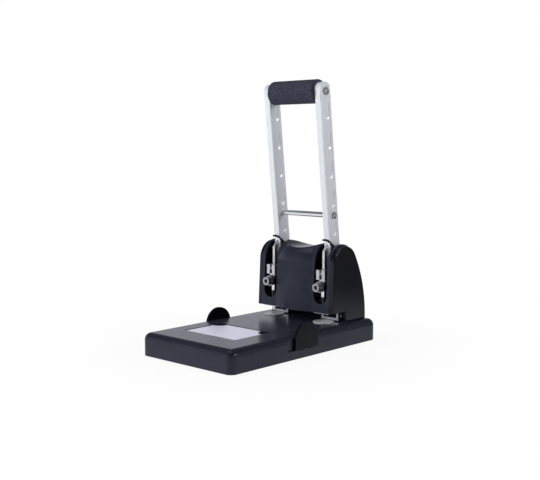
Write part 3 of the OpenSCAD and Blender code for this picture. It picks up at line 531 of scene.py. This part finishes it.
def foam_rubber(name, value):
    """Closed cell foam: open pores of mixed size and a dull mottled skin."""
    finish = Finish(name)
    low, high = shades(value, 0.62, 1.5)
    pores = finish.cells(900.0)
    mottle = finish.noise(420.0, 6.0)
    finish.shade(Base_Color=finish.tint(finish.spread(mottle, 0.0, 1.0), low, high),
                 Roughness=finish.spread(pores, 0.78, 0.95, 0.1, 0.6),
                 Specular_IOR_Level=0.3)
    finish.bump(finish.tint(0.45, pores, mottle), 0.55, 0.25 * MM)
    return finish.material


def dull_rubber(name, value):
    """Dull rubber with a fine grain."""
    finish = Finish(name)
    low, high = shades(value, 0.8, 1.3)
    finish.shade(Base_Color=finish.tint(finish.spread(finish.noise(300.0, 5.0), 0.0, 1.0), low, high),
                 Roughness=finish.spread(finish.noise(700.0, 3.0), 0.7, 0.9))
    finish.bump(finish.noise(1500.0, 2.0), 0.2, 0.08 * MM)
    return finish.material


def label_card(name, value):
    """A bare coated card: a faint fibre tone under a smooth film."""
    finish = Finish(name)
    low, high = shades(value, 0.97, 1.02)
    fibre = finish.noise(1.0, 5.0, finish.stretched((120.0, 700.0, 120.0)))
    finish.shade(Base_Color=finish.tint(finish.spread(fibre, 0.0, 1.0), low, high),
                 Roughness=finish.spread(finish.noise(60.0, 4.0), 0.27, 0.31))
    finish.bump(fibre, 0.02, 0.01 * MM)
    return finish.material


# Operators


class PunchOperator:
    """What the operators share"""

    bl_options = {"REGISTER", "UNDO"}

    def execute(self, context):
        """Builds from the scene's settings."""
        self.build(context.scene.hole_punch)
        return {"FINISHED"}


class HOLEPUNCH_OT_base(PunchOperator, bpy.types.Operator):
    """Finish the base, its plate, feet, drawer, rail and label"""

    bl_idname = "hole_punch.base"
    bl_label = "Base"

    def build(self, settings):
        colours = settings.colours
        paint(moulded_plastic("base_plastic", colours.base, 0.22), "base_shell")
        paint(moulded_plastic("drawer_plastic", colours.guides, 0.45), "chip_drawer", "guide_rail")
        paint(label_card("label_card", colours.label), "label_plate")
        paint(dull_rubber("foot_rubber", colours.rubber), "rubber_feet")
        paint(moulded_plastic("plate_paint", colours.guides, 0.5, 900.0), "bottom_plate")


class HOLEPUNCH_OT_guides(PunchOperator, bpy.types.Operator):
    """Round the paper guides and finish their bars"""

    bl_idname = "hole_punch.guides"
    bl_label = "Paper guides"

    def build(self, settings):
        plastic = moulded_plastic("guide_plastic", settings.colours.guides, 0.22, specular=0.1)
        for side in SIDES:
            plate = merged_copy(f"guide_{side}", f"guide_plate_{side}")
            round_off(plate, settings.edges.guide, 3, lambda middle, edge: True)
            smooth(plate)
            dress(plate, f"paper_guide_{side}", "guide_plastic", plastic, f"guide_{side}")
        paint(brushed_metal("bar_steel", settings.colours.steel, 0.36, (30.0, 900.0, 900.0)),
              *pair("slide_bar"))


class HOLEPUNCH_OT_housing(PunchOperator, bpy.types.Operator):
    """Round the front and rear covers and model the side covers"""

    bl_idname = "hole_punch.housing"
    bl_label = "Housing"

    def build(self, settings):
        edges = settings.edges
        cover = moulded_plastic("cover_plastic", settings.colours.covers, 0.19, specular=0.15)
        cheek = moulded_plastic("cheek_plastic", settings.colours.cheeks, 0.13, specular=0.28)
        for node, name in (("front_cover", "saddle_cover"), ("rear_cover", "back_cover")):
            shell = merged_copy(node, name)
            round_off(shell, edges.cover, 3, lambda middle, edge: edge.is_convex)
            smooth(shell)
            dress(shell, "base", "cover_plastic", cover, node)
        for side, sign in SIDES.items():
            shell = self.side_cover(f"side_cover_{side}", sign, settings.forms, edges)
            smooth(shell)
            dress(shell, "base", "cheek_plastic", cheek, f"cheek_{side}")

    def side_cover(self, name, sign, forms, edges):
        """A cup with a round front corner: an outline drawn out, hollowed and bevelled."""
        inner, outer = CHEEK_LOW.x * sign, CHEEK_HIGH.x * sign
        piece = outline_piece(name, [Vector((inner, *point)) for point in self.outline(forms)])
        edit(piece)
        bpy.ops.mesh.select_all(action="SELECT")
        extrude_across(outer - inner)
        turn_outwards()
        select_faces(piece, lambda face: abs(face.calc_center_median().x - inner) < TOUCH)
        bpy.ops.mesh.inset(thickness=forms.wall, depth=0)
        extrude_across(outer - inner - sign * forms.wall)
        turn_outwards()
        close_edit()
        self.weigh_rim(piece, outer, edges)
        apply(piece, "BEVEL", width=edges.corner, segments=edges.segments, limit_method="WEIGHT",
              harden_normals=False)
        return piece

    @staticmethod
    def outline(forms):
        """The side cover from the side, as (Y, Z): throat, front, arch and bowed back."""
        low, front, back = CHEEK_LOW.z, CHEEK_LOW.y, CHEEK_HIGH.y
        throat_y = front + forms.throat
        throat_z = low + forms.throat_rise
        centre_z = CHEEK_HIGH.z - forms.arch
        touch_z = centre_z + forms.arch * math.sin(forms.lean)
        centre_y = front + forms.arch * math.cos(forms.lean) + (touch_z - throat_z) * math.tan(forms.lean)
        centre = Vector((centre_y, centre_z))
        points = [(back, low), (throat_y, low), (throat_y, throat_z), (front, throat_z)]
        steps = 28
        first = math.pi - forms.lean
        for index in range(steps + 1):
            angle = first + (forms.arch_end - first) * index / steps
            points.append(tuple(centre + forms.arch * Vector((math.cos(angle), math.sin(angle)))))
        start, finish = Vector(points[-1]), Vector((back, low))
        half = (finish - start).length / 2
        way = (finish - start) / (2 * half)
        radius = (half ** 2 + forms.back_bow ** 2) / (2 * forms.back_bow)
        middle = (start + finish) / 2 + Vector((-way.y, way.x)) * (forms.back_bow - radius)
        spread = math.asin(half / radius)
        facing = math.atan2(way.x, -way.y)
        for index in range(1, steps):
            angle = facing + spread * (1 - 2 * index / steps)
            points.append(tuple(middle + radius * Vector((math.cos(angle), math.sin(angle)))))
        return points

    @staticmethod
    def weigh_rim(piece, outer, edges):
        """Weighs the edges round the outer face, full along the front corner and less towards the back."""
        mesh = piece.data
        weights = mesh.attributes.new("bevel_weight_edge", "FLOAT", "EDGE")
        least = edges.cheek / edges.corner
        fade = 1.6
        for edge in mesh.edges:
            ends = [mesh.vertices[index].co for index in edge.vertices]
            if all(abs(end.x - outer) < TOUCH for end in ends):
                middle = (ends[0] + ends[1]) / 2
                along = (middle.y - CHEEK_LOW.y) / (CHEEK_HIGH.y - CHEEK_LOW.y)
                weights.data[edge.index].value = max(least, 1.0 - fade * along)


class HOLEPUNCH_OT_lever(PunchOperator, bpy.types.Operator):
    """Round the arms' pockets and finish the lever's metal"""

    bl_idname = "hole_punch.lever"
    bl_label = "Lever"

    def build(self, settings):
        colours, edges = settings.colours, settings.edges
        metal = cast_metal("arm_metal", colours.arms)
        chrome = polished_metal("bar_chrome", colours.bright)
        satin = polished_metal("cup_steel", colours.bright, 0.3, 0.3)
        for side, sign in SIDES.items():
            arm = merged_copy(f"arm_{side}", f"lever_arm_{side}")
            round_off(arm, edges.arm, 3, self.on_face)
            smooth(arm)
            dress(arm, "lever", "arm_metal", metal, f"arm_{side}")
            dress(self.screw_cup(f"screw_cup_{side}", sign), "lever", "bar_chrome", satin)
        paint(chrome, "cross_bar")
        paint(brushed_metal("rivet_steel", colours.screws, 0.28, (200.0, 700.0, 700.0)), "drive_rivets")
        for node in ("grip_screws", "cross_bar_screws"):
            # The screws get a painted highlight in their sockets
            low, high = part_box(node)
            paint(screw_painted_highlight(f"{node}_steel", colours.screws, colours.bright, (low + high) / 2), node)
        paint(brushed_metal("rod_steel", colours.steel, 0.3, (30.0, 900.0, 900.0)), "grip_rod")
        paint(brushed_metal("bush_bronze", colours.bronze, 0.3, (900.0, 90.0, 90.0)), *pair("bush"))

    @staticmethod
    def on_face(middle, edge):
        """Edges in the flat sides of an arm above its slit."""
        return middle.z > PIVOT.z + SLIT_TOP

    @staticmethod
    def screw_cup(name, sign):
        """A bright dished washer in the seat of a grip screw."""
        hole, rim, thick = 2.6 * MM, 6.5 * MM, 0.45 * MM
        seat = ARM_OUTSIDE - SCREW_SEAT
        cup = start_piece(name, bpy.ops.mesh.primitive_circle_add, vertices=48, radius=rim,
                          fill_type="NGON", location=(sign * seat, GRIP_CENTRE.y, GRIP_CENTRE.z),
                          rotation=(0, sign * math.pi / 2, 0))
        edit(cup)
        bpy.ops.mesh.select_all(action="SELECT")
        bpy.ops.mesh.inset(thickness=rim - hole, depth=0)
        bpy.ops.mesh.delete(type="FACE")
        bpy.ops.mesh.select_all(action="SELECT")
        extrude_across(sign * thick)
        turn_outwards()
        close_edit()
        round_off(cup, thick * 0.8, 3, lambda middle, edge: abs(middle.x) > seat + thick * 0.9)
        smooth(cup)
        return cup


class HOLEPUNCH_OT_grip(PunchOperator, bpy.types.Operator):
    """Model the foam sleeve on the grip"""

    bl_idname = "hole_punch.grip"
    bl_label = "Foam grip"

    def build(self, settings):
        forms = settings.forms
        long = FOAM_HIGH.x - FOAM_LOW.x
        radius = (FOAM_HIGH.z - FOAM_LOW.z) / 2 - forms.foam_skin / 2
        sleeve = start_piece("foam_sleeve", bpy.ops.mesh.primitive_cylinder_add, vertices=72, radius=radius,
                             depth=long, location=GRIP_CENTRE, rotation=(0, math.pi / 2, 0))
        round_off(sleeve, forms.foam_end, 6, lambda middle, edge: abs(middle.x) > long / 2 - MM)
        edit(sleeve)
        cuts = 44
        for index in range(1, cuts):
            bpy.ops.mesh.select_all(action="SELECT")
            across = FOAM_LOW.x + forms.foam_end + (long - 2 * forms.foam_end) * index / cuts
            bpy.ops.mesh.bisect(plane_co=(across, 0, 0), plane_no=(1, 0, 0))
        close_edit()
        skin = bpy.data.textures.new("foam_skin", "CLOUDS")
        skin.noise_scale = 2.2 * MM
        apply(sleeve, "DISPLACE", texture=skin, texture_coords="LOCAL", strength=forms.foam_skin,
              mid_level=0.5)
        smooth(sleeve, 60)
        dress(sleeve, "lever", "grip_foam", foam_rubber("grip_foam", settings.colours.foam), "grip_foam")


class HOLEPUNCH_OT_springs(PunchOperator, bpy.types.Operator):
    """Bend the return spring on each arm"""

    bl_idname = "hole_punch.springs"
    bl_label = "Return springs"

    def build(self, settings):
        wire = brushed_metal("spring_wire", settings.colours.wire, 0.35, (600.0, 600.0, 600.0), 0.05)
        for side, sign in SIDES.items():
            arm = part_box(f"arm_{side}")
            middle = sign * abs(arm[0].x + arm[1].x) / 2
            points = [Vector((middle, 0, 0)) + point for point in self.route(settings.forms)]
            spring = self.bend(f"spring_{side}", points, settings.forms.wire)
            dress(spring, "lever", "spring_wire", wire, f"return_spring_{side}")

    def route(self, forms):
        """The wire from its hook over an arm, down the arm's side and round the axle."""
        side = forms.wire_side
        front = -forms.wire_front
        high = forms.hook
        tip = (-side + 0.6 * MM, front + 0.1 * MM, high - 0.1 * MM)
        bar = [(0, front, high), (side - 1.2 * MM, front, high - 1.6 * MM)]
        bend = (side, front + 1.4 * MM, high - 3.4 * MM)
        leg = [(side, front + 9 * MM, high - 12 * MM), (side, forms.coil - 3 * MM, 20 * MM),
               (side, forms.coil, 3.6 * MM)]
        points = [self.on_arm(*point) for point in (tip, *bar, bend, *leg)]
        tail = 12 * MM
        steps = 16
        for index in range(int(forms.turns * steps) + 1):
            angle = math.tau * index / steps
            points.append(Vector((side + forms.pitch * index / steps,
                                  PIVOT.y + forms.coil * math.cos(angle),
                                  PIVOT.z - forms.coil * math.sin(angle))))
        points.append(Vector((side + forms.pitch * forms.turns, PIVOT.y - tail, PIVOT.z - forms.coil)))
        return points

    @staticmethod
    def on_arm(across, behind, up):
        """A point beside an arm, from its distances behind the arm's middle and up from the axle."""
        return Vector((across,
                       PIVOT.y + behind * math.cos(ARM_LEAN) - up * math.sin(ARM_LEAN),
                       PIVOT.z + behind * math.sin(ARM_LEAN) + up * math.cos(ARM_LEAN)))

    @staticmethod
    def bend(name, points, thick):
        """A round wire through the points, made a mesh."""
        curve = bpy.data.curves.new(name, "CURVE")
        curve.dimensions = "3D"
        curve.bevel_depth = thick / 2
        curve.bevel_resolution = 4
        curve.use_fill_caps = True
        spline = curve.splines.new("BEZIER")
        spline.resolution_u = 5
        spline.bezier_points.add(len(points) - 1)
        for knot, point in zip(spline.bezier_points, points):
            knot.co = point
            knot.handle_left_type = knot.handle_right_type = "AUTO"
        wire = bpy.data.objects.new(name, curve)
        bpy.context.scene.collection.objects.link(wire)
        activate(wire)
        bpy.ops.object.convert(target="MESH")
        wire = bpy.context.active_object
        smooth(wire, 50)
        return wire


class HOLEPUNCH_OT_works(PunchOperator, bpy.types.Operator):
    """Finish the punches, forks, holders, dies, frames and rods"""

    bl_idname = "hole_punch.works"
    bl_label = "Works"

    def build(self, settings):
        colours = settings.colours
        bright = polished_metal("bright_steel", colours.bright)
        # The punches are painted dark from 6 mm under the holders down: painted shade
        shade_line, shade_fade = HOLDER_UNDERSIDE - 6 * MM, 1.5 * MM
        shank = shank_painted_shade("punch_steel", colours.bright, colours.dark, shade_line, shade_fade)
        tool = brushed_metal("tool_steel", colours.steel, 0.36, (500.0, 60.0, 500.0))
        oiled = brushed_metal("holder_steel", colours.holders, 0.36, (300.0, 300.0, 90.0))
        bolt = brushed_metal("bolt_steel", colours.steel, 0.3, (300.0, 90.0, 300.0))
        plated = brushed_metal("fork_steel", colours.plated, 0.45, (160.0, 500.0, 90.0))
        drive = brushed_metal("drive_steel", colours.bright, 0.4, (160.0, 500.0, 90.0))
        smooth_steel = polished_metal("die_steel", colours.dies, 0.4, 0.4)
        frames = brushed_metal("frame_steel", colours.dark, 0.45, (400.0, 60.0, 400.0))
        black = brushed_metal("black_steel", colours.wire, 0.4, (60.0, 500.0, 500.0))
        paint(bright, *pair("stripper"), *pair("paper_stop"), *pair("drive_pin"))
        paint(shank, *pair("punch"))
        paint(smooth_steel, *pair("die"))
        paint(tool, "axle", "base_screws", "frame_bolts", "bridge_screws", "cover_screws")
        paint(oiled, *pair("holder"))
        paint(bolt, *pair("clamp_bolt"))
        paint(plated, *pair("fork"))
        paint(drive, *pair("drive_plate"))
        paint(frames, *pair("frame"), "guide_bridge", "tie_rod")
        paint(black, "axle_rings", "stop_rod")


class HOLEPUNCH_OT_stage(PunchOperator, bpy.types.Operator):
    """Set the floor, the light and the camera"""

    bl_idname = "hole_punch.stage"
    bl_label = "Stage"

    def build(self, settings):
        stage = settings.stage
        scene = bpy.context.scene
        scene.view_settings.view_transform = "Standard"
        self.floor(stage.floor, settings.colours.floor)
        self.world()
        for name, (place, size, mirrored) in LAMPS.items():
            self.lamp(name, place, size, getattr(stage, name), mirrored)
        bpy.ops.object.camera_add(location=stage.camera,
                                  rotation=(math.pi / 2 - stage.pitch, 0, stage.azimuth))
        camera = bpy.context.active_object
        camera.data.sensor_width = 36.0
        camera.data.lens = stage.lens
        scene.camera = camera

    @staticmethod
    def floor(side, value):
        """A floor that takes the shadow, white to the camera and dimmer behind in reflections."""
        floor = start_piece("floor", bpy.ops.mesh.primitive_plane_add, size=side)
        finish = Finish("floor_white")
        finish.shade(Base_Color=opaque(value), Roughness=0.9, Specular_IOR_Level=0.0)
        path = finish.add("ShaderNodeLightPath")
        seen = path.outputs["Is Camera Ray"]
        for name in ("Is Glossy Ray", "Is Transmission Ray"):
            seen = finish.math("MAXIMUM", seen, path.outputs[name])
        apart = finish.add("ShaderNodeSeparateXYZ", Vector=finish.place)
        behind = finish.math("ADD", finish.math("ABSOLUTE", apart.outputs["X"]), apart.outputs["Y"])
        power = finish.math("MAXIMUM", finish.spread(behind, *FLOOR_BEHIND), path.outputs["Is Camera Ray"])
        glow = finish.add("ShaderNodeEmission", Color=WHITE, Strength=power)
        share = finish.math("MULTIPLY", seen, finish.spread(finish.away(finish.place), *FLOOR_SHADOW))
        finish.blend(share, finish.shader, glow)
        floor.data.materials.append(finish.material)

    @staticmethod
    def world():
        """A white backdrop with a cool light that is weaker overhead and at the right."""
        studio = bpy.data.worlds.new("studio")
        bpy.context.scene.world = studio
        nodes = Nodes(studio)
        place = nodes.add("ShaderNodeTexCoord").outputs["Generated"]
        apart = nodes.add("ShaderNodeSeparateXYZ", Vector=place)
        falls = [nodes.spread(apart.outputs[axis], *fall, run="SMOOTHSTEP")
                 for axis, fall in (("Z", SKY_UP), ("X", SKY_RIGHT))]
        light = nodes.tree.nodes["Background"]
        nodes.set(light.inputs["Color"], SKY_TINT)
        nodes.set(light.inputs["Strength"], nodes.math("MULTIPLY", *falls))
        backdrop = nodes.add("ShaderNodeBackground", Color=WHITE)
        nodes.blend(nodes.add("ShaderNodeLightPath").outputs["Is Camera Ray"], light, backdrop)

    @staticmethod
    def lamp(name, place, size, power, mirrored):
        """A soft light that faces the middle of the object, seen in reflections or not."""
        bpy.ops.object.light_add(type="AREA", location=place)
        lamp = bpy.context.active_object
        lamp.name = name
        lamp.data.shape = "RECTANGLE"
        lamp.data.size, lamp.data.size_y = size
        lamp.data.energy = power
        lamp.visible_camera = False
        lamp.visible_glossy = mirrored
        lamp.rotation_euler = (LAMP_AIM - Vector(place)).to_track_quat("-Z", "Y").to_euler()


STEPS = (HOLEPUNCH_OT_stage, HOLEPUNCH_OT_base, HOLEPUNCH_OT_guides, HOLEPUNCH_OT_housing,
         HOLEPUNCH_OT_lever, HOLEPUNCH_OT_grip, HOLEPUNCH_OT_springs, HOLEPUNCH_OT_works)


class HOLEPUNCH_PT_panel(bpy.types.Panel):
    """Panel with the settings and the steps"""

    bl_idname = "HOLEPUNCH_PT_panel"
    bl_label = "Hole punch"
    bl_space_type = "VIEW_3D"
    bl_region_type = "UI"
    bl_category = "Hole punch"

    def draw(self, context):
        """Lists the settings, then a button for each step."""
        settings = context.scene.hole_punch
        for group in (settings.colours, settings.edges, settings.forms, settings.stage):
            column = self.layout.box().column()
            for name in group.__annotations__:
                column.prop(group, name)
        for step in STEPS:
            self.layout.operator(step.bl_idname)


CLASSES = (PunchColours, PunchEdges, PunchForms, PunchStage, PunchSettings, *STEPS, HOLEPUNCH_PT_panel)


def register():
    """Makes the settings, the operators and the panel known to Blender."""
    for cls in CLASSES:
        bpy.utils.register_class(cls)
    bpy.types.Scene.hole_punch = PointerProperty(type=PunchSettings)


def unregister():
    """Takes them away again."""
    del bpy.types.Scene.hole_punch
    for cls in reversed(CLASSES):
        bpy.utils.unregister_class(cls)


def main():
    """Builds the whole scene."""
    register()
    bpy.ops.hole_punch.stage()
    bpy.ops.hole_punch.base()
    bpy.ops.hole_punch.guides()
    bpy.ops.hole_punch.housing()
    bpy.ops.hole_punch.lever()
    bpy.ops.hole_punch.grip()
    bpy.ops.hole_punch.springs()
    bpy.ops.hole_punch.works()


if __name__ == "__main__":
    main()
